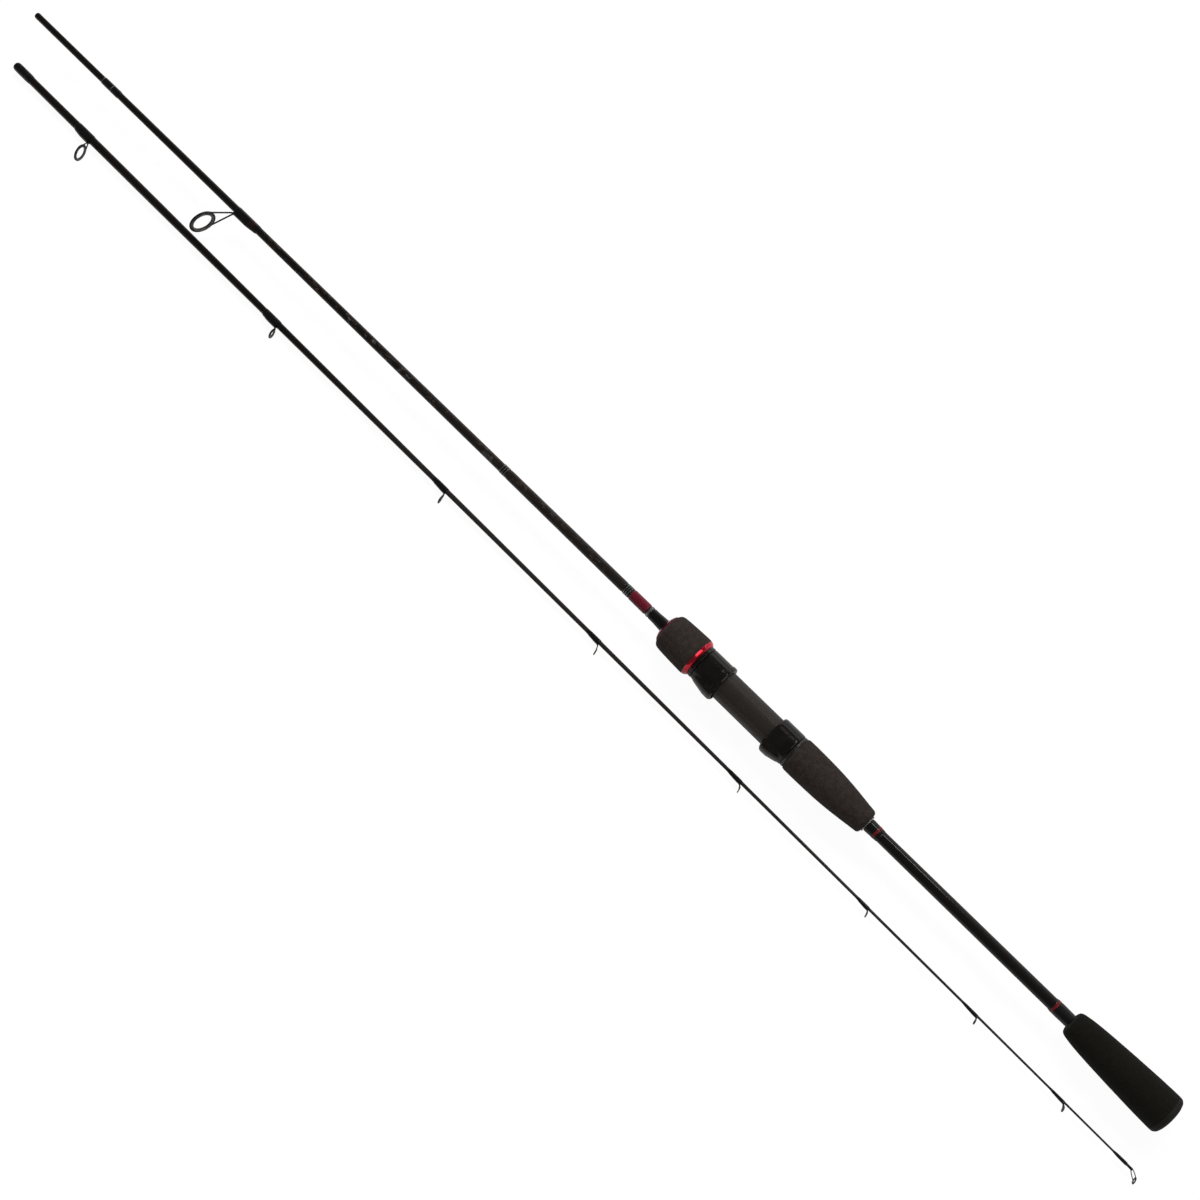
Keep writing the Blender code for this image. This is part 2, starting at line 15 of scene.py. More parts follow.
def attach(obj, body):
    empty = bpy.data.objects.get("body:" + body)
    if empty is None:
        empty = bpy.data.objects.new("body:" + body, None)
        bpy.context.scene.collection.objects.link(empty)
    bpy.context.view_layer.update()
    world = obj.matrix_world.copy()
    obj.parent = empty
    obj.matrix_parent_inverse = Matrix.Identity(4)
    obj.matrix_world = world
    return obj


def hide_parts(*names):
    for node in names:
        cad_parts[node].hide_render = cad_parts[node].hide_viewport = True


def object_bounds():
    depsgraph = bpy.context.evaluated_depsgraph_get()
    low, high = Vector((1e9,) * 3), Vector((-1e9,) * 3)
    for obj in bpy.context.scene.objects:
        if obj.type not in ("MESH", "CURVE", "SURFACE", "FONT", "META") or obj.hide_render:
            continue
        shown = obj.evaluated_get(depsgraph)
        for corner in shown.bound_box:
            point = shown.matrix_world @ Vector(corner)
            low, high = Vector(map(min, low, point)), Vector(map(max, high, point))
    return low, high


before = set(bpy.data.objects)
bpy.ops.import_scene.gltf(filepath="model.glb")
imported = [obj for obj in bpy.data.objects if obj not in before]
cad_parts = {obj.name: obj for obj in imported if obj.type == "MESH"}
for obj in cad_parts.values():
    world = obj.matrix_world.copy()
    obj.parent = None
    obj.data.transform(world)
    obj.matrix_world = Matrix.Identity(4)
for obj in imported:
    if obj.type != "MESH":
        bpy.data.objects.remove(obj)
CAD_LO, CAD_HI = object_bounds()
scene = bpy.context.scene
TAU = 2 * math.pi

# ---- dimensions shared with the CAD parts ---------------------------------------------------
DECK_Y = 10.65                                    # deck height over the butt section's axis
MALE_END_X, BUTT_END_X, STOP_X, MOUTH_X = 741.05, -350.6, 661.7, 724.8
TIP_Y, TIP_Z, TIP_ROLL = 36.0, -10.9, math.radians(15.0)
BARREL_R, DECK_X, THREAD_X = 9.9, (-22.9, 20.4), (33.5, 61.0)
SLIDING_HOOD_X, FIXED_HOOD_X = (20.7, 39.7), (-40.2, -23.3)
HOOD_R, HOOD_LIP_R, HOOD_BORE_R, HOOD_TOP = 12.15, 12.6, 10.25, 14.4
TIP_END = 1080.8
RING_LEAN, STRIPPER_LEAN = 15.0, 12.0             # degrees
FOOT_SHARE = 0.68                                 # guide foot's share of its winding's length

# place along z, ring centre's height and lead, ring radius, wire radius, insert's half
# thickness, winding length
GUIDES = [
    (90.4, 14.0, 4.6, 6.60, 0.46, 0.66, 17.5),
    (301.0, 8.6, 2.7, 3.75, 0.40, 0.58, 15.8),
    (476.7, 8.2, 1.8, 2.75, 0.35, 0.46, 13.3),
    (626.0, 7.2, 2.6, 2.30, 0.30, 0.34, 11.7),
    (756.2, 5.0, 2.0, 2.10, 0.27, 0.31, 11.9),
    (867.3, 4.2, 1.2, 1.90, 0.27, 0.28, 10.3),
    (958.0, 3.9, 0.6, 1.85, 0.28, 0.28, 12.3),
    (1027.8, 3.9, 1.6, 1.85, 0.29, 0.28, 11.8),
]
STRIPPER = (508.9, 24.0, 9.9, 10.1, 0.62, 0.94, 24.0)
LINED_GUIDES = (4, 6)                             # their windings carry a silver line

# blank under its clear coat: z, radius
BUTT_PROFILE = [
    (-345.0, 4.05), (-250.0, 3.98), (-118.0, 3.90), (-40.0, 3.75), (66.0, 3.55), (92.0, 3.46),
    (113.0, 3.38), (231.0, 3.12), (303.0, 3.03), (377.0, 2.92), (454.0, 2.75), (533.0, 2.60),
    (620.0, 2.50), (663.0, 2.46), (740.2, 2.42)]
TIP_PROFILE = [
    (0.0, 2.82), (30.0, 2.86), (70.0, 2.96), (125.0, 2.96), (165.0, 2.88), (205.0, 2.70),
    (280.0, 2.42), (360.0, 2.14), (470.0, 1.74), (540.0, 1.58), (610.0, 1.43), (675.0, 1.28),
    (740.0, 1.14), (800.0, 1.00), (870.0, 0.86), (940.0, 0.74), (1010.0, 0.64), (1080.0, 0.56)]
# clear coat, which the CAD leaves out: z, thickness
BUTT_COAT = [(-130.0, 0.20), (-90.0, 0.12), (640.0, 0.12), (665.0, 0.04)]
TIP_COAT = [(0.0, 0.12), (800.0, 0.09), (1080.0, 0.05)]


def along(table, z):
    return float(np.interp(z, *zip(*table)))


def butt_r(z):
    return along(BUTT_PROFILE, z) + along(BUTT_COAT, z)


def tip_r(z):
    return along(TIP_PROFILE, z) + along(TIP_COAT, z)


def section_matrix(origin, z_axis, x_axis):
    z, x = Vector(z_axis).normalized(), Vector(x_axis).normalized()
    turn = Matrix((x, z.cross(x), z)).transposed().to_4x4()
    return np.array(Matrix.Translation(Vector(origin)) @ turn)


BUTT, TIP, COLLAR = "butt_section", "tip_section", "ferrule_collar"
HOOD, NUT = "sliding_hood", "nut_and_fore_grip"
BUTT_FRAME = section_matrix((0, -DECK_Y, 0), (1, 0, 0), (0, 1, 0))
TIP_FRAME = section_matrix((MOUTH_X, TIP_Y - DECK_Y, TIP_Z), (-1, 0, 0),
                           (0, math.cos(TIP_ROLL), math.sin(TIP_ROLL)))
FRAMES = {BUTT: BUTT_FRAME, HOOD: BUTT_FRAME, NUT: BUTT_FRAME, TIP: TIP_FRAME, COLLAR: TIP_FRAME}

# ---- node materials -------------------------------------------------------------------------
LOOKS = {}


class Look:
    """Short names for building a node material, which is kept in LOOKS under its name."""

    def __init__(self, name):
        self.material = LOOKS[name] = bpy.data.materials.new(name)
        self.material.use_nodes = True
        self.tree = self.material.node_tree
        coord = self.tree.nodes.new("ShaderNodeTexCoord")
        self.obj, self.uv = coord.outputs["Object"], coord.outputs["UV"]

    def feed(self, socket, value):
        """Links a socket or sets a value; a colour gets its alpha."""
        if isinstance(value, bpy.types.NodeSocket):
            self.tree.links.new(value, socket)
        elif isinstance(value, tuple) and socket.type == "RGBA":
            socket.default_value = (*value, 1.0)
        else:
            socket.default_value = value

    def set(self, **values):
        shader = self.tree.nodes["Principled BSDF"]
        for key, value in values.items():
            self.feed(shader.inputs[key.replace("_", " ")], value)

    def node(self, kind, inputs, **props):
        node = self.tree.nodes.new(kind)
        for key, value in props.items():
            setattr(node, key, value)
        for key, value in inputs.items():
            self.feed(node.inputs[key], value)
        return node

    def split(self, vector):
        return self.node("ShaderNodeSeparateXYZ", {0: vector}).outputs

    def math(self, operation, a, b=0.0):
        return self.node("ShaderNodeMath", {0: a, 1: b, 2: 0.0}, operation=operation).outputs[0]

    def add(self, a, b):
        return self.math("ADD", a, b)

    def times(self, a, b):
        return self.math("MULTIPLY", a, b)

    def noise(self, scale, detail=3.0, rough=0.5, distortion=0.0, coord=None):
        """Noise at one scale, or stretched by a scale for each axis."""
        vector = self.obj if coord is None else coord
        if isinstance(scale, tuple):
            stretch = self.node("ShaderNodeMapping", {"Vector": vector, "Scale": scale})
            vector, scale = stretch.outputs[0], 1.0
        return self.node("ShaderNodeTexNoise", {
            "Vector": vector, "Scale": scale, "Detail": detail, "Roughness": rough,
            "Distortion": distortion}).outputs[0]

    def cells(self, scale):
        inputs = {"Vector": self.obj, "Scale": scale, "Randomness": 1.0}
        return self.node("ShaderNodeTexVoronoi", inputs, feature="F1").outputs["Distance"]

    def mix(self, share, a, b):
        return self.node("ShaderNodeMix", {0: share, 6: a, 7: b}, data_type="RGBA").outputs[2]

    def span(self, value, lo, hi, a=0.0, b=1.0, kind="SMOOTHSTEP"):
        """Runs from a to b as the value runs from lo to hi."""
        inputs = {0: value, 1: lo, 2: hi, 3: a, 4: b}
        return self.node("ShaderNodeMapRange", inputs, interpolation_type=kind).outputs[0]

    def shade(self, pattern, edge, dark, light):
        """Two colours mixed by a pattern running from edge to 1 - edge."""
        return self.mix(self.span(pattern, edge, 1 - edge), dark, light)

    def vary(self, pattern, low, high, edge=0.3):
        """A number following a pattern linearly from low to high."""
        return self.span(pattern, edge, 1 - edge, low, high, "LINEAR")

    def bump(self, height, strength, distance):
        inputs = {"Height": height, "Strength": strength, "Distance": distance}
        return self.node("ShaderNodeBump", inputs).outputs[0]


def crossed_fibre(mat):
    """A dark lengthwise fibre pattern, and its colour under a crossed wrap."""
    u, v, _ = mat.split(mat.uv)
    waves = []
    for direction in ("ADD", "SUBTRACT"):
        turns = mat.math(direction, mat.times(u, 0.30), mat.times(v, 3.0))
        waves.append(mat.math("SINE", mat.times(turns, TAU)))
    weave = mat.span(mat.times(*waves), -0.25, 0.25)
    fibre = mat.noise((60.0, 3000.0, 3000.0), rough=0.6)
    share = mat.times(weave, mat.span(fibre, 0.35, 0.7))
    return fibre, mat.mix(share, (0.0034, 0.0021, 0.0017), (0.0078, 0.0052, 0.0041))


def clear_coat(mat, fibre, colour):
    wave = mat.noise((120.0, 900.0, 900.0), detail=2.0)
    mat.set(Base_Color=colour, Roughness=mat.vary(fibre, 0.34, 0.48, edge=0.2),
            Specular_IOR_Level=0.20, Coat_Weight=0.45, Coat_Roughness=mat.vary(wave, 0.07, 0.13),
            Coat_Normal=mat.bump(wave, strength=0.10, distance=0.0001),
            Normal=mat.bump(fibre, strength=0.12, distance=0.00005))


def carbon_of_butt():
    """Carbon with grey and brown flecks in front of the fore grip."""
    mat = Look("carbon_butt")
    fibre, base = crossed_fibre(mat)
    x = mat.split(mat.obj)[0]
    where = mat.times(mat.span(x, 0.085, 0.130), mat.span(x, 0.520, 0.430))
    big = mat.noise((95.0, 260.0, 260.0), detail=4.0, rough=0.62, distortion=1.4)
    fine = mat.noise((700.0, 1600.0, 1600.0), detail=2.0)
    fleck = mat.times(mat.span(big, 0.52, 0.68), mat.span(fine, 0.30, 0.62))
    warm = mat.noise((40.0, 120.0, 120.0))
    fleck_colour = mat.shade(warm, 0.42, (0.170, 0.160, 0.152), (0.110, 0.070, 0.052))
    base = mat.mix(mat.times(fleck, where), base, fleck_colour)
    # browner and paler towards the grip
    x = mat.split(mat.obj)[0]
    pale = mat.times(mat.span(x, 0.44, 0.22), mat.span(x, 0.02, 0.09))
    base = mat.mix(pale, base, mat.mix(0.55, base, (0.0230, 0.0170, 0.0140)))
    clear_coat(mat, fibre, base)


def carbon_of_tip():
    """Plain carbon, paler towards the thin end."""
    mat = Look("carbon_tip")
    fibre, base = crossed_fibre(mat)
    x = mat.split(mat.obj)[0]
    pale = mat.times(mat.span(x, 0.44, 0.20), mat.span(x, -0.9, -0.8))
    pale_colour = mat.shade(fibre, 0.3, (0.0175, 0.0140, 0.0130), (0.0240, 0.0200, 0.0190))
    clear_coat(mat, fibre, mat.mix(pale, base, pale_colour))


def thread(name, dark, light, hint=None):
    """Wound thread under clear epoxy; hint is (from x, to x, colour) of differing turns."""
    mat = Look(name)
    u, v, _ = mat.split(mat.uv)  # u runs along the winding in mm, v once round it
    pitch = 0.28
    turns = mat.add(mat.math("DIVIDE", u, pitch), v)
    ring = mat.math("ABSOLUTE", mat.math("SINE", mat.times(turns, math.pi)))
    wave = mat.noise((160.0, 500.0, 500.0), detail=2.0)
    # Painted light and shade: each turn is lighter on its crest and darker in the groove between
    # turns, broken up by noise.
    base = mat.mix(mat.times(ring, mat.span(mat.noise(1500.0), 0.3, 0.7)), dark, light)
    if hint:
        x = mat.split(mat.obj)[0]
        start, end, tint = hint
        edge = 0.0006
        inside = mat.times(mat.span(x, start - edge, start), mat.span(x, end + edge, end))
        base = mat.mix(mat.times(inside, 0.8), base, tint)
    mat.set(Base_Color=base, Roughness=0.42, Specular_IOR_Level=0.25, Coat_Weight=0.5,
            Coat_Roughness=mat.vary(wave, 0.05, 0.12),
            Coat_Normal=mat.bump(wave, strength=0.10, distance=0.0002),
            Normal=mat.bump(ring, strength=0.20, distance=0.00006))


def foam(name, dark, light, speck, specular=0.15):
    """Closed-cell foam: fine open pores with painted shade in them, a mottled tone and a dry
    surface.
    """
    mat = Look(name)
    pores = mat.cells(1900.0)
    tiny = mat.noise(3400.0, detail=2.0)
    mottle = mat.noise(330.0, detail=4.0, rough=0.65)
    spots = mat.span(mat.noise(1150.0, detail=2.0, rough=0.6), 0.60, 0.72)
    tone = mat.mix(mat.times(spots, 0.65), mat.shade(mottle, 0.34, dark, light), speck)
    # Painted shade: the colour is darkened in the pores, where shade falls.
    tone = mat.mix(mat.span(pores, 0.30, 0.05), tone, tuple(part * 0.35 for part in dark))
    height = mat.add(mat.times(pores, 1.2), mat.times(tiny, 0.6))
    mat.set(Base_Color=tone, Roughness=mat.vary(mottle, 0.82, 0.95), Specular_IOR_Level=specular,
            Normal=mat.bump(height, strength=0.75, distance=0.00022),
            Sheen_Weight=0.06, Sheen_Roughness=0.5)


def seat_plastic():
    """Satin moulding with a fine grain along it."""
    mat = Look("seat")
    grain = mat.noise((500.0, 2600.0, 2600.0), rough=0.6)
    fog = mat.noise(160.0)
    mat.set(Base_Color=mat.shade(grain, 0.3, (0.0210, 0.0165, 0.0135), (0.0310, 0.0250, 0.0205)),
            Roughness=mat.vary(fog, 0.38, 0.48), Specular_IOR_Level=0.4,
            Normal=mat.bump(grain, strength=0.18, distance=0.00008))


def hood_plastic():
    """Glossy moulding, a little uneven, with fine rubbing marks."""
    mat = Look("hood")
    flow = mat.noise(90.0, detail=2.0, distortion=0.6)
    fine = mat.noise((2200.0, 500.0, 500.0))
    mat.set(Base_Color=mat.shade(flow, 0.3, (0.0036, 0.0026, 0.0020), (0.0095, 0.0068, 0.0050)),
            Roughness=mat.vary(fine, 0.16, 0.26), Specular_IOR_Level=0.35, Coat_Weight=0.15,
            Coat_Roughness=0.08, Normal=mat.bump(flow, strength=0.10, distance=0.0006))


def anodised(name, deep, bright):
    """Turned aluminium with fine tool lines round it under a transparent colour."""
    mat = Look(name)
    lines = mat.noise((9.0, 0.6, 1.0), rough=0.6, coord=mat.uv)
    fog = mat.noise(240.0, detail=2.0)
    tone = mat.add(mat.times(lines, 0.6), mat.times(fog, 0.4))
    mat.set(Base_Color=mat.shade(tone, 0.35, deep, bright), Metallic=0.92,
            Roughness=mat.vary(lines, 0.14, 0.24), Coat_Weight=0.5, Coat_Roughness=0.05,
            Normal=mat.bump(lines, strength=0.12, distance=0.00005))


def metal(name, dark, light, rough):
    mat = Look(name)
    scuff = mat.noise((900.0, 900.0, 900.0), detail=4.0, rough=0.6)
    mat.set(Base_Color=mat.shade(scuff, 0.35, dark, light), Metallic=1.0,
            Roughness=mat.vary(scuff, rough, rough + 0.14),
            Normal=mat.bump(scuff, strength=0.06, distance=0.00005))


def ceramic():
    mat = Look("ceramic")
    cloud = mat.noise(700.0)
    mat.set(Base_Color=mat.shade(cloud, 0.35, (0.034, 0.029, 0.027), (0.066, 0.057, 0.053)),
            Roughness=mat.vary(cloud, 0.16, 0.26), Specular_IOR_Level=0.8, Coat_Weight=0.5,
            Coat_Roughness=0.04, Normal=mat.bump(cloud, strength=0.03, distance=0.00005))


def rubber():
    mat = Look("rubber")
    grain = mat.cells(1500.0)
    fog = mat.noise(220.0)
    mat.set(Base_Color=mat.shade(fog, 0.35, (0.0095, 0.0090, 0.0075), (0.0155, 0.0145, 0.0125)),
            Roughness=mat.vary(fog, 0.62, 0.74), Specular_IOR_Level=0.25,
            Normal=mat.bump(grain, strength=0.25, distance=0.0001))


BLACK_THREAD = {"dark": (0.0016, 0.0013, 0.0012), "light": (0.0040, 0.0033, 0.0030)}
carbon_of_butt()
carbon_of_tip()
thread("thread_black", **BLACK_THREAD)
thread("thread_hint", **BLACK_THREAD, hint=(0.4893, 0.4940, (0.016, 0.0040, 0.0036)))
thread("thread_maroon", dark=(0.10, 0.0035, 0.0115), light=(0.20, 0.008, 0.026))
thread("thread_red", dark=(0.10, 0.0035, 0.0055), light=(0.24, 0.010, 0.013))
thread("thread_pale", dark=(0.10, 0.096, 0.090), light=(0.24, 0.230, 0.220))
foam("eva", dark=(0.0300, 0.0228, 0.0200), light=(0.0460, 0.0355, 0.0310),
     speck=(0.080, 0.064, 0.057), specular=0.06)
foam("eva_butt", dark=(0.0080, 0.0076, 0.0056), light=(0.0108, 0.0102, 0.0078),
     speck=(0.0150, 0.0140, 0.0110), specular=0.08)
seat_plastic()
hood_plastic()
anodised("red", deep=(0.58, 0.008, 0.026), bright=(0.86, 0.026, 0.060))
anodised("maroon_ring", deep=(0.26, 0.005, 0.045), bright=(0.46, 0.012, 0.085))
metal("silver", dark=(0.30, 0.29, 0.28), light=(0.46, 0.45, 0.43), rough=0.26)
metal("gunmetal", dark=(0.040, 0.036, 0.035), light=(0.080, 0.074, 0.072), rough=0.27)
metal("dull_grey", dark=(0.078, 0.073, 0.068), light=(0.135, 0.127, 0.120), rough=0.34)
ceramic()
rubber()
foam("arbor", dark=(0.22, 0.20, 0.17), light=(0.36, 0.33, 0.29), speck=(0.48, 0.45, 0.40))


# ---- mesh building --------------------------------------------------------------------------
def skin(rows, wrap):
    """Points, faces and face-corner UVs (z in mm, share of a turn) of one shell, facing out.

    Each row is a closed ring, or one point for a pole; wrap joins the last row to the first.
    """
    rings = [np.asarray(row, float).reshape(-1, 3) for row in rows]
    points = np.vstack(rings)
    firsts = np.cumsum([0] + [len(ring) for ring in rings]).tolist()
    faces, uvs = [], []
    for i in range(len(rings) if wrap else len(rings) - 1):
        after = (i + 1) % len(rings)
        sides = max(len(rings[i]), len(rings[after]))
        for j in range(sides):
            corners = [(i, j), (i, j + 1), (after, j + 1), (after, j)]
            if len(rings[i]) == 1:
                del corners[1]
            elif len(rings[after]) == 1:
                del corners[2]
            face = [firsts[ring] + turn % len(rings[ring]) for ring, turn in corners]
            faces.append(face)
            uvs.append([(points[index][2], turn / sides)
                        for index, (_, turn) in zip(face, corners)])
    centre = points.mean(0)
    volume = 0.0
    for face in faces:
        first, *rest = points[face] - centre
        for second, third in zip(rest, rest[1:]):
            volume += float(first @ np.cross(second, third))
    if volume < 0:
        faces = [face[::-1] for face in faces]
        uvs = [corners[::-1] for corners in uvs]
    return points, faces, uvs


def add_piece(name, shells, look, node=None, body=BUTT, sharp=38.0):
    """One object from a list of (rows, wrap) shells, given in the frame of its body."""
    points, faces, uvs = [], [], []
    start = 0
    for rows, wrap in shells:
        shell_points, shell_faces, shell_uvs = skin(rows, wrap)
        points.append(shell_points)
        faces += [tuple(start + index for index in face) for face in shell_faces]
        uvs += [uv for corners in shell_uvs for uv in corners]
        start += len(shell_points)
    matrix = FRAMES[body]
    places = np.vstack(points) @ matrix[:3, :3].T + matrix[:3, 3]
    mesh = bpy.data.meshes.new(name)
    mesh.from_pydata((places * 0.001).tolist(), [], faces)
    layer = mesh.uv_layers.new(name="UVMap")
    layer.data.foreach_set("uv", np.array(uvs, np.float32).ravel())
    mesh.materials.append(LOOKS[look])
    mesh.shade_smooth()
    mesh.set_sharp_from_angle(angle=math.radians(sharp))
    piece = bpy.data.objects.new(name, mesh)
    scene.collection.objects.link(piece)
    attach(piece, body)
    if node:
        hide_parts(node)


def around(count):
    return np.arange(count) * TAU / count


def ring_points(z, radius, angles):
    """A ring at z; radius is one number or one for each angle."""
    return np.stack([radius * np.cos(angles), radius * np.sin(angles),
                     np.full(len(angles), z)], 1)


def turned(name, profile, look, node=None, body=BUTT, sides=64, wrap=True):
    """A profile of (z, radius) turned round the axis."""
    rows = [np.array([[0.0, 0.0, z]]) if radius < 1e-6 else ring_points(z, radius, around(sides))
            for z, radius in profile]
    add_piece(name, [(rows, wrap)], look, node, body)


def fillet(outline, radii, closed=True, steps=5):
    """Rounds the corners of an outline of (z, r); radii is one number or one for each point."""
    points = [np.array(point, float) for point in outline]
    count = len(points)
    radii = [radii] * count if isinstance(radii, (int, float)) else radii
    rounded = []
    for i, (point, radius) in enumerate(zip(points, radii)):
        if (not closed and i in (0, count - 1)) or radius <= 0:
            rounded.append(tuple(point))
            continue
        back, ahead = points[i - 1] - point, points[(i + 1) % count] - point
        back_len, ahead_len = np.linalg.norm(back), np.linalg.norm(ahead)
        back, ahead = back / back_len, ahead / ahead_len
        angle = math.acos(max(-1.0, min(1.0, float(back @ ahead))))
        if angle > math.radians(176):
            rounded.append(tuple(point))
            continue
        cut = min(radius / math.tan(angle / 2), back_len * 0.48, ahead_len * 0.48)
        radius = cut * math.tan(angle / 2)
        middle = back + ahead
        middle /= np.linalg.norm(middle)
        centre = point + middle * (radius / math.sin(angle / 2))
        start, end = point + back * cut - centre, point + ahead * cut - centre
        cosine = float(start @ end) / (np.linalg.norm(start) * np.linalg.norm(end))
        sweep = math.acos(max(-1.0, min(1.0, cosine)))
        for k in range(steps + 1):
            t = k / steps
            arm = math.sin((1 - t) * sweep) * start + math.sin(t * sweep) * end
            rounded.append(tuple(centre + arm / max(math.sin(sweep), 1e-9)))
    return rounded


def between(t, start, end, a, b):
    return (end - t) / (end - start) * a + (t - start) / (end - start) * b


def smooth(outline, per=6):
    """A centripetal Catmull-Rom curve through (z, r) points, with per steps to each span."""
    points = np.array(outline, float)
    points = np.vstack([2 * points[0] - points[1], points, 2 * points[-1] - points[-2]])
    curve = []
    for i in range(1, len(points) - 2):
        quad = points[i - 1:i + 3]
        knots = [0.0]
        for a, b in zip(quad, quad[1:]):
            knots.append(knots[-1] + np.linalg.norm(b - a) ** 0.5)
        for k in range(per):
            t = knots[1] + (knots[2] - knots[1]) * k / per
            lines = [between(t, knots[j], knots[j + 1], quad[j], quad[j + 1]) for j in range(3)]
            bows = [between(t, knots[j], knots[j + 2], lines[j], lines[j + 1]) for j in range(2)]
            curve.append(tuple(between(t, knots[1], knots[2], *bows)))
    curve.append(tuple(points[-2]))
    return curve


def band(name, z0, z1, r_out, r_in, look="silver", node=None, body=BUTT, sides=64, rounding=0.15):
    outline = fillet([(z1, r_out), (z0, r_out), (z0, r_in), (z1, r_in)], rounding)
    turned(name, outline, look, node, body, sides)


def winding(name, outline, inner, node, body=BUTT, per=6, sides=64):
    """Black thread with a measured outline; inner closes it along the blank."""
    turned(name, smooth(outline, per) + inner, "thread_black", node, body,
           sides)


def epoxy(name, base_r, z0, z1, thick, look, node, sides=64, ends=1.2):
    """Thread with epoxy that runs out to nothing at both ends, on the butt section."""
    outer = []
    for z in reversed(eased_stations(z0, z1, 28)):
        swell = ease(z, z0, z0 + ends) * (1 - ease(z, z1 - ends, z1))
        outer.append((z, base_r(z) + 0.02 + thick * swell ** 0.7))
    inner = [(z, base_r(z) - 0.12) for z in (z0, z1)]
    turned(name, outer + inner, look, node, sides=sides)


def polar(name, zs, r_out, r_in, angles, look, node, body=BUTT, sharp=38.0):
    """A tube whose outside and inside radii are functions of the angle and z."""
    angles = np.array(sorted(angles))
    rows = [ring_points(z, np.array([radius(a, z) for a in angles]), angles)
            for radius, stations in ((r_out, zs), (r_in, zs[::-1])) for z in stations]
    add_piece(name, [(rows, True)], look, node, body, sharp)


def ease(x, start, end):
    t = min(1.0, max(0.0, (x - start) / (end - start)))
    return t * t * (3 - 2 * t)


def eased_stations(z0, z1, count):
    """Stations from z0 to z1, closer together at both ends."""
    return list(z0 + (z1 - z0) * (0.5 - 0.5 * np.cos(np.linspace(0, math.pi, count))))


def wrap_angle(a):
    return (a + math.pi) % TAU - math.pi


def both_sides(y, x):
    """The directions of (x, y) and (x, -y)."""
    angle = math.atan2(y, x)
    return [angle % TAU, -angle % TAU]


# ---- butt section: blank and its trim -------------------------------------------------------
zs = sorted(set([z for z, _ in BUTT_PROFILE[:-1]] + list(np.arange(-340, 741, 12.0))))
end_r = butt_r(MALE_END_X)
outer = [(MALE_END_X, end_r - 0.45), (MALE_END_X - 0.12, end_r - 0.2),
         (MALE_END_X - 0.4, end_r - 0.05), (MALE_END_X - 0.9, butt_r(MALE_END_X))]
outer += [(z, butt_r(z)) for z in reversed(zs)]
inner = [(zs[0], butt_r(zs[0]) - 1.2), (60.0, 2.4), (400.0, 1.95), (MALE_END_X - 1.0, 1.52),
         (MALE_END_X, 1.60)]
turned("blank_of_butt", outer + inner, "carbon_butt", "butt_blank")

epoxy("winding_at_ferrule_stop", butt_r, 642.8, STOP_X, 0.30, "thread_black",
      "ferrule_stop_winding", sides=48)
band("stop_line_front", 659.8, 660.4, butt_r(661) + 0.33, butt_r(661), "thread_pale", sides=48)
band("stop_line_rear", 649.9, 650.5, butt_r(652) + 0.37, butt_r(652), "thread_pale", sides=48)

# a second layer of carbon, very slightly wavy
outer = [(224.9, butt_r(224.9) + 0.08), (224.3, butt_r(224) + 0.24)]
outer += [(z, butt_r(z) + 0.27 + 0.02 * math.sin(z * 0.35)) for z in np.arange(222.0, 115.0, -4.0)]
outer += [(113.4, butt_r(113.4) + 0.24), (112.8, butt_r(112.8) + 0.08)]
inner = [(z, butt_r(z) - 0.1) for z in (112.8, 224.9)]
turned("overwrap", outer + inner, "carbon_butt", "decor_sleeve")


def trim_band(name, z0, z1, radius, lines, node):
    """A black winding with silver lines round it."""
    base = butt_r(z0)
    epoxy(name, butt_r, z0, z1, radius - base - 0.02, "thread_black", node, ends=0.8)
    for i, z in enumerate(lines, 1):
        band(f"{name}_line_{i}", z - 0.28, z + 0.28, radius + 0.05, base + 0.05, rounding=0.12)


trim_band("front_trim", 225.2, 231.4, 3.50, (226.3, 228.3, 230.3), "front_trim_band")
trim_band("rear_trim", 106.3, 112.0, 3.76, (107.6, 109.2, 110.8), "rear_trim_band")
epoxy("band_maroon", butt_r, 90.9, 105.9, 0.36, "thread_maroon", "maroon_band", ends=0.7)
band("ring_silver", 88.0, 89.8, 3.98, butt_r(90) - 0.1, node="silver_ring", rounding=0.35)
winding("winding_under_fore_grip",
        [(87.7, 3.62), (86.9, 3.92), (84.8, 3.98), (82.5, 4.06), (79.5, 4.25), (77.0, 4.42),
         (74.0, 4.5), (67.0, 4.5), (65.2, 4.3)],
        [(65.2, 3.4), (87.7, 3.3)], "fore_winding", per=5)


# ---- line guides ----------------------------------------------------------------------------
def ring_axes(lean):
    """The outward and sideways axes of a ring leaning by so many degrees."""
    lean = math.radians(lean)
    return np.array([math.cos(lean), 0.0, math.sin(lean)]), np.array([0.0, 1.0, 0.0])


def torus_rows(centre, axes, major, half_r, half_a, count, section_count, power):
    """A ring of superellipse section, half_r thick outwards and half_a along its axis."""
    out, side = axes
    axis = np.cross(out, side)
    turns = around(section_count)
    cosine, sine = np.cos(turns), np.sin(turns)
    across = np.sign(cosine) * np.abs(cosine) ** (2 / power) * half_r
    along_axis = np.sign(sine) * np.abs(sine) ** (2 / power) * half_a
    rows = []
    for a in around(count):
        radial = math.cos(a) * out + math.sin(a) * side
        rows.append(centre + radial * major + np.outer(across, radial)
                    + np.outer(along_axis, axis))
    return rows


def ring_arc(centre, axes, radius, sign, angles):
    out, side = axes
    return [centre + radius * (math.cos(a) * out + sign * math.sin(a) * side) for a in angles]


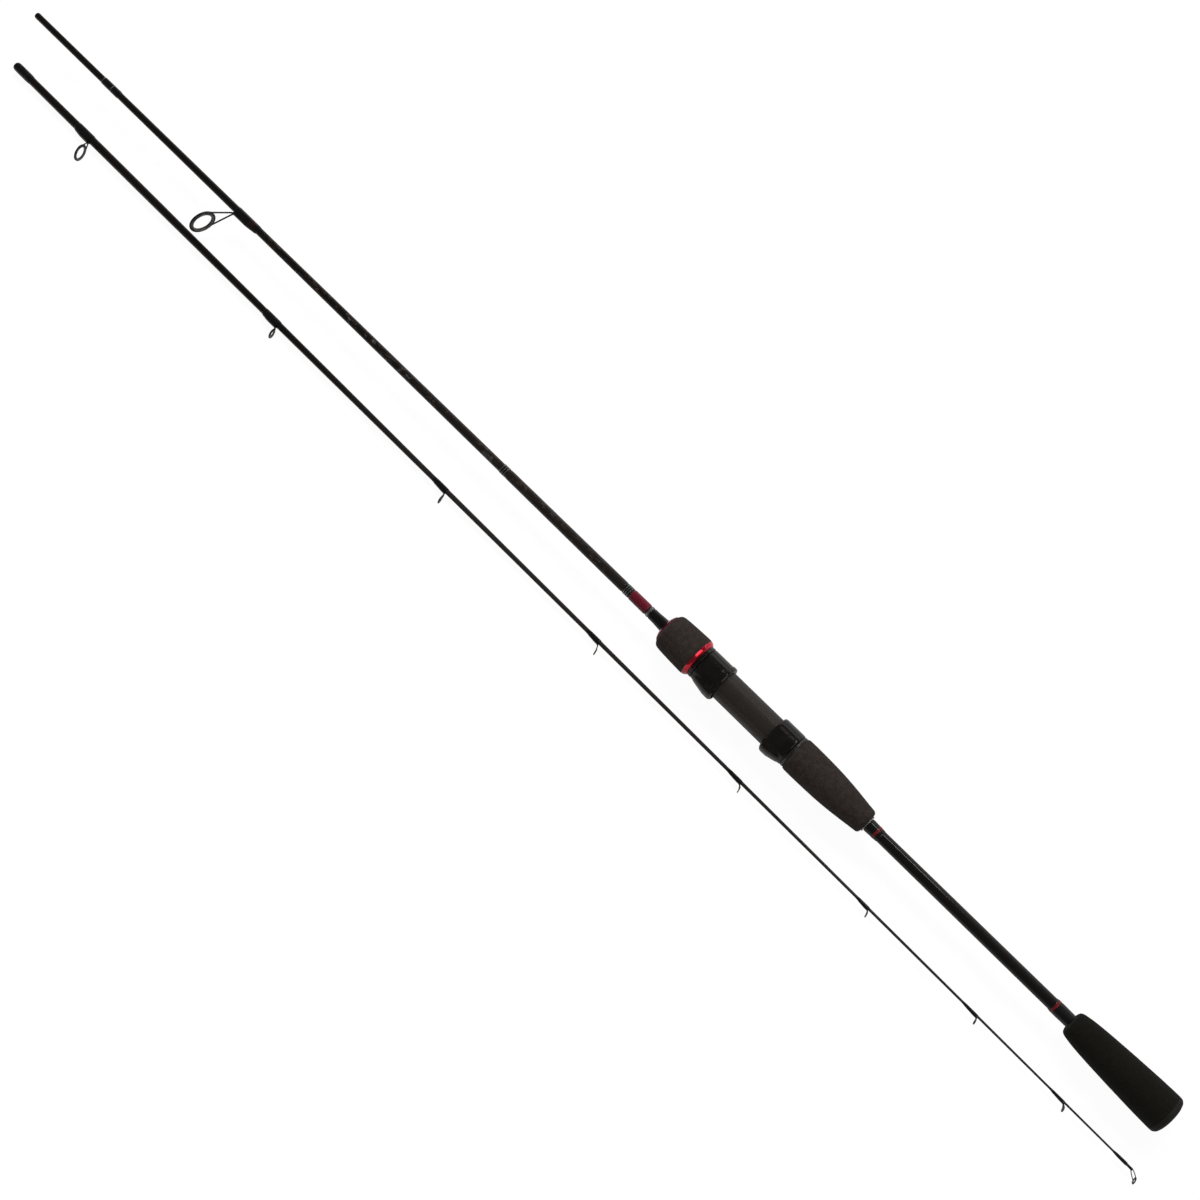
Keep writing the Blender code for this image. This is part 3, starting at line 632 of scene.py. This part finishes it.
def wire_rows(path, sizes, sides):
    """A domed wire along a path; sizes holds its half width and half thickness at each point."""
    points = np.array(path, float)
    tangents = np.gradient(points, axis=0)
    tangents /= np.linalg.norm(tangents, axis=1)[:, None]
    across = np.array([0.0, 1.0, 0.0])
    turns = around(sides)
    rows = []
    for point, tangent, (width, thickness) in zip(points, tangents, sizes):
        across = across - (across @ tangent) * tangent
        across /= np.linalg.norm(across)
        other = np.cross(tangent, across)
        rows.append(point + np.outer(np.cos(turns) * width, across)
                    + np.outer(np.sin(turns) * thickness, other))

    def dome(end, sign):
        point, reach = points[end], sign * tangents[end] * sizes[end][1]
        return [(point + reach * 0.8)[None], point + reach * 0.5 + (rows[end] - point) * 0.75]

    return dome(0, -1) + rows + dome(-1, 1)[::-1]


def bend(points, corner_len, steps=6):
    """A polyline with its inner corners replaced by short curves."""
    points = [np.array(point, float) for point in points]
    path = [points[0]]
    for before, corner, after in zip(points, points[1:], points[2:]):
        back, ahead = before - corner, after - corner
        back_len, ahead_len = np.linalg.norm(back), np.linalg.norm(ahead)
        cut = min(corner_len, back_len * 0.45, ahead_len * 0.45)
        start, end = corner + back / back_len * cut, corner + ahead / ahead_len * cut
        for k in range(steps + 1):
            t = k / steps
            path.append((1 - t) ** 2 * start + 2 * t * (1 - t) * corner + t * t * end)
    return path + [points[-1]]


def guide_feet(centre, axes, blank, place, height, wire_r, wire, length):
    """Two legs down from the ring, and the flattened foot between them along the blank."""
    foot_x, foot_y = blank + 0.10 + wire, wire + 0.02
    start = math.pi - math.acos(min(0.95, wire_r / (height - foot_x)))
    foot_len = length * FOOT_SHARE
    toe = place - foot_len
    leg_r = wire * (0.96 if wire > 0.45 else 1.15)
    shells = []
    for sign in (1.0, -1.0):
        arc = ring_arc(centre, axes, wire_r, sign,
                       np.linspace(start, start - math.radians(48), 9))
        path = bend([(foot_x, sign * foot_y, place - foot_len * 0.45),
                     (foot_x, sign * foot_y, place), arc[0]], 1.3 + wire) + arc[1:]
        shells.append((wire_rows(path, [(leg_r, leg_r)] * len(path), 12), False))
    path, sizes = [], []
    for z in np.linspace(toe, place + 0.1, 12):
        widen = ease(z, toe, place - foot_len * 0.3)
        thicken = ease(z, toe, place - foot_len * 0.2)
        path.append((blank + 0.10 + wire * (0.55 + 0.45 * thicken), 0.0, z))
        sizes.append((wire * (1.0 + 1.0 * widen), wire * (0.35 + 0.62 * thicken)))
    return shells + [(wire_rows(path, sizes, 16), False)]


def guide_winding(prefix, body, blank_r, blank, place, wire, length, look, lined):
    """Thread over the foot, its epoxy drawn out thin at the far end and rounded in front."""
    z0, z1 = place - length, place - 0.15
    if blank > 2.0:
        thin, lump_thick = 0.30, 0.42 + 2 * wire
        rise_share, rise_power, run_in = 0.45, 0.8, 1.6
    else:
        thin, lump_thick = 0.14 + 0.08 * max(blank - 0.6, 0.0), 0.24 + 2 * wire
        rise_share, rise_power, run_in = 0.75, 1.0, 3.0

    def r_out(a, z):
        rise = min(1.0, max(0.0, (z - z0) / (length * rise_share))) ** rise_power
        front = 1 - ease(z, z1 - 0.9, z1 + 0.25) * 0.75
        ends = ease(z, z0 - 0.1, z0 + run_in) * front
        lump = math.exp(-(abs(wrap_angle(a)) / 0.82) ** 2.4)
        thick = thin * (0.75 + 0.25 * rise) + (lump_thick - thin) * rise * lump
        return blank_r(z) + 0.03 + ends * thick

    polar(prefix + "_thread", eased_stations(z0, z1, 30), r_out, lambda a, z: blank_r(z) - 0.08,
          around(48), look, prefix + "_winding", body)
    if lined:
        band(prefix + "_front_line", z1 - 1.25, z1 - 0.85, blank_r(z1) + thin + 0.10,
             blank_r(z1), body=body, sides=48, rounding=0.1)


def guide(prefix, body, blank_r, spec, lean, look="thread_black", lined=False):
    place, height, ahead, ring_r, wire, insert, length = spec
    blank = max(blank_r(place), blank_r(place - length))
    axes = ring_axes(lean)
    centre = np.array([height, 0.0, place + ahead])
    wire_r = ring_r - wire
    ring = torus_rows(centre, axes, wire_r, wire * 0.98, wire * 1.15, 80, 16, power=3.2)
    feet = guide_feet(centre, axes, blank, place, height, wire_r, wire, length)
    add_piece(prefix + "_wire", [(ring, True)] + feet, "gunmetal",
              prefix + "_frame", body)
    lining = torus_rows(centre, axes, wire_r - wire - insert + 0.03, insert, insert * 1.12,
                        80, 18, power=2.3)
    add_piece(prefix + "_insert", [(lining, True)], "ceramic", prefix + "_ring",
              body)
    guide_winding(prefix, body, blank_r, blank, place, wire, length, look, lined)


guide("stripper_guide", BUTT, butt_r, STRIPPER, STRIPPER_LEAN, look="thread_hint")
for i, spec in enumerate(GUIDES, 1):
    guide(f"guide_{i}", TIP, tip_r, spec, RING_LEAN, lined=i in LINED_GUIDES)

# ---- tip section ----------------------------------------------------------------------------
outer = [(1078.0, 0.0), (1078.0, 0.35), (1077.8, 0.5)]
outer += [(z, tip_r(z)) for z in np.arange(1077.4, 0.0, -12.0)] + [(0.0, tip_r(0))]
inner = [(0.0, 2.50), (86.0, 2.48), (116.0, 1.9), (300.0, 1.45), (560.0, 0.75), (700.0, 0.0)]
turned("blank_of_tip", outer + inner, "carbon_tip", "tip_blank", TIP, 48,
       wrap=False)
winding("winding_of_ferrule",
        [(19.0, 2.92), (18.2, 3.08), (16.5, 3.30), (12.0, 3.39), (7.0, 3.40), (3.0, 3.38),
         (1.1, 3.30), (0.25, 3.05)],
        [(0.2, 2.75), (19.0, 2.80)], "ferrule_winding", COLLAR)
band("ferrule_mouth_line", 13.6, 14.2, 3.43, 2.8, "dull_grey", body=COLLAR, rounding=0.12)

# tip top: a socket on the blank's end, its winding, and a ring on two legs
SOCKET_R = 0.82
outline = fillet([(TIP_END, 0.0), (TIP_END, SOCKET_R), (1068.5, SOCKET_R), (1068.5, 0.62),
                  (1078.4, 0.62), (1078.4, 0.0)], [0, 0.25, 0.1, 0.05, 0, 0], closed=False)
turned("tip_top_socket", outline, "gunmetal", "tip_top_tube", TIP, 40, wrap=False)
winding("tip_top_thread",
        [(1076.5, 0.86), (1076.2, 1.00), (1075.2, 1.08), (1072.0, 1.06), (1069.0, 0.98),
         (1067.2, 0.82), (1065.4, 0.62)],
        [(1065.5, 0.50), (1076.5, 0.50)], "tip_top_winding", TIP, sides=40)


def tip_top_ring(ring_r=2.35, wire=0.24, insert=0.34):
    centre = np.array([4.3, 0.0, TIP_END + 4.4])
    axes = ring_axes(RING_LEAN)
    saddle = SOCKET_R + wire * 0.8
    wire_r, leg_r = ring_r - wire, wire * 1.25
    ring = torus_rows(centre, axes, wire_r, wire, wire * 1.15, 64, 14, power=3.0)
    shells = [(ring, True)]
    for sign in (1.0, -1.0):
        arc = ring_arc(centre, axes, wire_r, sign,
                       np.linspace(math.radians(108), math.radians(60), 8))
        path = bend([(0.0, sign * saddle, TIP_END - 3.2), (0.0, sign * saddle, TIP_END - 0.6),
                     (0.9, sign * 1.75, TIP_END + 0.6), (2.4, sign * 2.1, TIP_END + 2.6),
                     arc[0]], 0.8) + arc[1:]
        shells.append((wire_rows(path, [(leg_r, leg_r)] * len(path), 12), False))
    add_piece("tip_top_wire", shells, "gunmetal", "tip_top_frame", TIP)
    lining = torus_rows(centre, axes, ring_r - 2 * wire - insert + 0.03, insert, 0.38, 64, 14,
                        power=2.3)
    add_piece("tip_top_insert", [(lining, True)], "ceramic", "tip_top_ring", TIP)


tip_top_ring()

# ---- reel seat ------------------------------------------------------------------------------
# half cross-sections from the middle of the deck and of the rail: x, y
DECK = [(DECK_Y, 0.0), (DECK_Y, 3.35), (10.56, 3.85), (9.88, 5.68), (9.60, 6.07), (8.4, 6.45),
        (8.05, 6.5), (6.9, 6.5)]
RAIL = [(10.35, 0.0), (10.35, 3.0), (8.5, 3.0)]
# where the deck and the rail run into the barrel: x, y
SEAT_CREASES = [(7.47, 6.5), (7.44, 6.52), (9.43, 3.0), (9.4, 3.05)]
THREAD_PITCH, THREAD_ROOT_R, THREAD_HEIGHT = 2.5, 8.3, 0.9


def outline_r(outline, a):
    """Distance from the axis, in the direction a, of an open outline that starts on y = 0."""
    c, d = math.cos(a), math.sin(a)
    for (x0, y0), (x1, y1) in zip(outline, outline[1:]):
        det = c * (y1 - y0) - d * (x1 - x0)
        if abs(det) < 1e-9:
            continue
        t = (d * x0 - c * y0) / det
        if -1e-6 <= t <= 1 + 1e-6:
            return (x0 * (y1 - y0) - y0 * (x1 - x0)) / det
    return 0.0


def seat_out(a, z):
    a = abs(wrap_angle(a))
    start, end = THREAD_X
    if z > start:
        phase = (z - start) / THREAD_PITCH - a / TAU
        crest = (0.5 - 0.5 * math.cos(TAU * phase)) ** 0.8
        fade = ease(z, start, start + 2.0) * (1 - ease(z, end - 1.5, end))
        return THREAD_ROOT_R + THREAD_HEIGHT * crest * fade
    if DECK_X[0] < z < DECK_X[1]:
        return max(BARREL_R, outline_r(DECK, a))
    if DECK_X[1] < z < start - 0.5:
        return max(BARREL_R, outline_r(RAIL, a))
    return BARREL_R


angles = list(around(144))
for x, y in DECK[1:-1] + RAIL[1:2] + SEAT_CREASES:
    angles += both_sides(y, x)
zs = [-38.0, -37.6, -30, -26, DECK_X[0] - 0.02, DECK_X[0] + 0.02, -18, -12, -6, 0, 6, 12, 18,
      DECK_X[1] - 0.02, DECK_X[1] + 0.02, 24, 28, 32.98, 33.02, 33.5]
zs += list(np.arange(33.7, 61.6, 0.3)) + [62.4, 64.0]
polar("seat_barrel", zs, seat_out, lambda a, z: 6.3, angles, "seat",
      "reel_seat_body", sharp=28)

# ---- hoods ----------------------------------------------------------------------------------
# openings inside a hood: depth from the mouth, half width, top
HOOD_POCKETS = [(7.0, 6.9, 11.6), (6.8, 5.2, 13.0), (12.0, 4.6, 11.5)]
KEYWAY = (3.4, 10.75)                             # half width, top


def hood_out(a, d, depth, keyway):
    """Outside radius at the distance d from the mouth of a hood."""
    r = HOOD_R
    edge = 1.5 if keyway else 2.2
    if keyway:
        # a raised lip with a fine groove behind it
        r += (HOOD_LIP_R - HOOD_R) * (1 - ease(d, 3.2, 3.7))
        r -= 0.22 * max(0.0, 1 - ((d - 3.95) / 0.32) ** 2)
    if d < edge:
        r -= 1.0 * (1 - max(0.0, 1 - (1 - max(d, 0.0) / edge) ** 2) ** 0.5)
    if d > depth - 0.7:
        r -= 0.5 * (1 - (depth - d) / 0.7) ** 2
    # the raised pocket over the deck, blended into the tube
    if abs(a) < math.pi / 2:
        top = float(np.interp(
            d, (0.0, 1.0, 2.4, 6.5, depth - 3.0, depth - 0.9, depth),
            (HOOD_TOP - 1.5, HOOD_TOP - 0.3, HOOD_TOP, HOOD_TOP - 0.1, HOOD_R + 0.45,
             HOOD_R - 0.6, HOOD_R - 1.2)))
        half = float(np.interp(d, (0.0, 6.5, depth - 3.0, depth), (8.4, 8.6, 7.4, 5.5)))
        power, blend = 3.6, 0.55
        pocket = 1.0 / ((math.cos(a) / top) ** power
                        + (abs(math.sin(a)) / half) ** power) ** (1 / power)
        share = max(0.0, min(1.0, 0.5 + 0.5 * (pocket - r) / blend))
        r = r * (1 - share) + pocket * share + blend * share * (1 - share) * 0.5
    return r


def hood_in(a, d, depth, keyway):
    r = HOOD_BORE_R
    if abs(a) < math.pi / 2:
        openings = [(half, top) for deep, half, top in HOOD_POCKETS if d < deep]
        if keyway:
            openings.append(KEYWAY)
        for half, top in openings:
            r = max(r, min(top / math.cos(a), half / max(abs(math.sin(a)), 1e-6)))
    return min(r, hood_out(a, d, depth, keyway) - 0.3)


def hood(name, mouth, back, body, node, keyway):
    sign = 1.0 if back > mouth else -1.0
    depth = abs(back - mouth)

    def placed(radius):
        return lambda a, z: radius(wrap_angle(a), sign * (z - mouth), depth, keyway)

    # close stations at the rim and at both sides of each pocket's end
    stations = {*np.linspace(0, 4.2, 26), *np.linspace(4.2, depth - 0.7, 14),
                *np.linspace(depth - 0.7, depth, 5), 6.78, 6.82, 6.98, 7.02, 11.98, 12.02}
    zs = sorted(mouth + sign * d for d in stations if 0 <= d <= depth)
    angles = list(around(160))
    side = math.asin(6.9 / HOOD_BORE_R)
    angles += [side, -side % TAU]
    for half, top in [pocket[1:] for pocket in HOOD_POCKETS] + [KEYWAY, (5.2, 11.6)]:
        angles += both_sides(half, top)
    polar(name, zs, placed(hood_out), placed(hood_in), angles, "hood", node,
          body, sharp=40)


hood("hood_sliding", SLIDING_HOOD_X[0], SLIDING_HOOD_X[1], HOOD, "movable_hood", keyway=True)
hood("hood_fixed", FIXED_HOOD_X[1], FIXED_HOOD_X[0], BUTT, "fixed_hood", keyway=False)
band("hood_fixed_ring", -42.6, -40.45, 11.9, 7.0, "dull_grey", "fixed_hood_ring", sides=96,
     rounding=0.45)

# ---- lock nut and fore grip -----------------------------------------------------------------
outline = [(71.3, 10.6), (70.9, 11.0), (42.8, 11.0), (42.7, 12.1), (40.4, 12.25), (40.0, 11.9),
           (40.0, 9.9), (40.8, 9.5), (68.6, 9.5), (69.0, 5.2), (71.3, 5.2)]
turned("nut", fillet(outline, 0.25), "hood", "lock_nut", NUT, 96)
outline = [(45.95, 14.1), (45.4, 14.15), (44.6, 13.75), (43.9, 13.3), (43.3, 12.75),
           (42.85, 12.2), (42.85, 11.05), (45.95, 11.05)]
turned("nut_ring_red", fillet(outline, 0.3), "red", "nut_red_ring", NUT, 96)
outer = smooth([
    (72.9, 8.1), (73.35, 8.62), (73.15, 9.2), (72.5, 10.4), (71.7, 11.65), (70.7, 12.72),
    (69.4, 13.25), (67.4, 13.55), (64.2, 13.78), (60.0, 13.98), (56.0, 14.16), (51.5, 14.3),
    (47.4, 14.37), (46.3, 14.25), (46.0, 13.95)])
inner = [(46.0, 11.02), (71.4, 11.02), (71.4, 6.5), (72.6, 6.5)]
turned("grip_fore", outer + inner, "eva", "fore_grip", NUT, 96)
outline = [(75.45, 4.8), (75.0, 6.3), (74.2, 8.3), (73.35, 9.9), (72.6, 10.4), (72.3, 7.3),
           (73.3, 4.65), (75.3, 4.6)]
turned("fore_grip_ring", fillet(outline, 0.35), "maroon_ring",
       "fore_trim_ring", NUT, 96)

# ---- rear grip and its trim -----------------------------------------------------------------
rear_bore = butt_r(-100) - 0.05
outer = smooth([
    (-42.75, 11.2), (-42.9, 12.0), (-43.9, 12.48), (-47.5, 12.65), (-53.0, 12.63),
    (-58.0, 12.55), (-63.0, 12.43), (-70.5, 12.16), (-78.0, 11.66), (-85.0, 10.98),
    (-92.5, 10.1), (-98.5, 9.32), (-101.5, 8.98), (-103.5, 8.62), (-104.6, 7.75),
    (-105.05, 6.4)])
inner = [(-105.05, rear_bore), (-42.75, rear_bore)]
turned("grip_rear", outer + inner, "eva", "rear_grip", sides=96)
band("check_rear", -106.05, -105.1, 5.9, rear_bore, node="rear_winding_check", sides=80,
     rounding=0.35)
winding("trim_rear",
        [(-106.3, 4.5), (-106.9, 4.68), (-108.7, 4.66), (-112.2, 4.52), (-115.0, 4.42),
         (-116.4, 4.28), (-117.2, 3.98)],
        [(-117.2, rear_bore - 0.05), (-106.3, rear_bore - 0.05)], "rear_trim_winding")
epoxy("trim_rear_red", lambda z: 4.42, -114.2, -112.2, 0.16, "thread_red", "rear_red_ring",
      ends=0.4)

# ---- butt grip, its trim and the cap --------------------------------------------------------
trim_bore = butt_r(-260) - 0.1
winding("trim_butt",
        [(-257.9, 4.05), (-258.8, 4.38), (-261.0, 4.56), (-264.0, 4.64), (-268.0, 4.58),
         (-273.0, 4.5)],
        [(-273.0, trim_bore), (-257.9, trim_bore)], "butt_grip_winding")
epoxy("trim_butt_red", lambda z: 4.46, -261.5, -259.5, 0.20, "thread_red", "butt_red_ring",
      ends=0.4)
butt_bore = butt_r(-340) - 0.05
outer = smooth([
    (-273.1, 5.0), (-273.3, 6.4), (-274.1, 7.9), (-275.5, 8.75), (-277.8, 9.3), (-281.8, 9.96),
    (-286.0, 10.44), (-290.9, 10.87), (-297.0, 11.32), (-304.4, 11.75), (-312.0, 12.18),
    (-320.0, 12.55), (-326.5, 12.85), (-333.0, 13.1), (-340.0, 13.27), (-345.5, 13.36)])
inner = [(-345.5, butt_bore), (-273.1, butt_bore)]
turned("grip_butt", outer + inner, "eva_butt", "butt_grip", sides=96)
cap_end = BUTT_END_X - 0.1
outline = fillet([(-345.55, 0.0), (-345.55, 13.40), (-348.1, 13.15), (-349.5, 11.9),
                  (-350.3, 9.8), (cap_end, 6.8), (cap_end, 0.0)],
                 [0, 0.12, 2.0, 2.0, 3.0, 1.2, 0], closed=False, steps=6)
groove = [(cap_end, 5.2), (BUTT_END_X + 0.3, 5.0), (BUTT_END_X + 0.3, 4.4), (cap_end, 4.2)]
turned("cap_butt", outline[:-1] + groove + outline[-1:], "rubber", "butt_cap",
       sides=96, wrap=False)

# the CAD's own arbors only get a material
for name in ("front_arbor", "rear_arbor"):
    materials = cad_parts[name].data.materials
    materials.clear()
    materials.append(LOOKS["arbor"])

# ---- floor, light, camera -------------------------------------------------------------------
bpy.ops.mesh.primitive_plane_add(size=14.0, location=(0.2, 0.0, CAD_LO.z - 0.0004))
floor = bpy.context.active_object
floor.name = "studio_floor"


def floor_paper():
    """Paper that glows white to the camera and faintly in reflections."""
    mat = Look("floor_paper")
    rays = mat.node("ShaderNodeLightPath", {}).outputs
    seen, mirrored = rays["Is Camera Ray"], rays["Is Glossy Ray"]
    tone = mat.shade(mat.noise(60.0), 0.3, (0.10, 0.10, 0.10), (0.12, 0.12, 0.12))
    mat.set(Base_Color=mat.mix(seen, (0.45, 0.45, 0.45), tone), Roughness=0.9,
            Specular_IOR_Level=0.0, Emission_Color=(1.0, 1.0, 1.0),
            Emission_Strength=mat.add(mat.times(seen, 0.94), mat.times(mirrored, 0.18)))


floor_paper()
floor.data.materials.append(LOOKS["floor_paper"])

# the loaded scene may already have a world
world = bpy.data.worlds.new("studio") if scene.world is None else scene.world
scene.world = world
world.use_nodes = True
world_nodes = world.node_tree.nodes
background = world_nodes.get("Background") or world_nodes.new("ShaderNodeBackground")
background.inputs["Color"].default_value = (1.0, 1.0, 1.0, 1.0)
background.inputs["Strength"].default_value = 0.11

# The broad lamps give the even light; the others are what glossy surfaces reflect.
# name, place, target x, size, power in watts, seen in reflections
LAMPS = [
    ("key", (0.9, -1.5, 1.6), 0.15, (2.4, 0.9), 50.0, False),
    ("fill", (-0.8, 1.6, 1.5), 0.15, (2.2, 0.9), 18.0, False),
    ("softbox_left", (0.2, -1.6, 0.40), 0.15, (3.2, 0.5), 4.0, True),
    ("softbox_end", (-1.2, -0.35, 1.0), 0.05, (1.1, 0.9), 5.5, True),
    ("small_lamp", (-0.10, -1.05, 1.2), -0.1, (0.22, 0.22), 1.5, True),
]
for name, place, target_x, size, power, glossy in LAMPS:
    light = bpy.data.lights.new(name, "AREA")
    light.shape = "RECTANGLE"
    light.size, light.size_y = size
    light.energy = power
    lamp = bpy.data.objects.new(name, light)
    scene.collection.objects.link(lamp)
    lamp.location = place
    lamp.rotation_mode = "QUATERNION"
    aim = Vector((target_x, 0.0, 0.0)) - Vector(place)
    lamp.rotation_quaternion = aim.to_track_quat("-Z", "Y")
    lamp.visible_glossy = glossy
    lamp.visible_diffuse = not glossy

lens = bpy.data.cameras.new("camera")
lens.sensor_width, lens.lens = 36.0, 50.0
lens.shift_x, lens.shift_y = -0.00047, -0.00048
camera = bpy.data.objects.new("camera", lens)
scene.collection.objects.link(camera)
eye = Vector((-0.1385, 0.2643 - DECK_Y / 1000, 1.0335))
target = Vector((0.1177, 0.0173 - DECK_Y / 1000, 0.0))
forward = (target - eye).normalized()
right = forward.cross(Vector((0.7199, -0.6941, 0.0))).normalized()
turn = Matrix((right, right.cross(forward), -forward)).transposed().to_4x4()
camera.matrix_world = Matrix.Translation(eye) @ turn
scene.camera = camera
scene.view_settings.view_transform = "Standard"
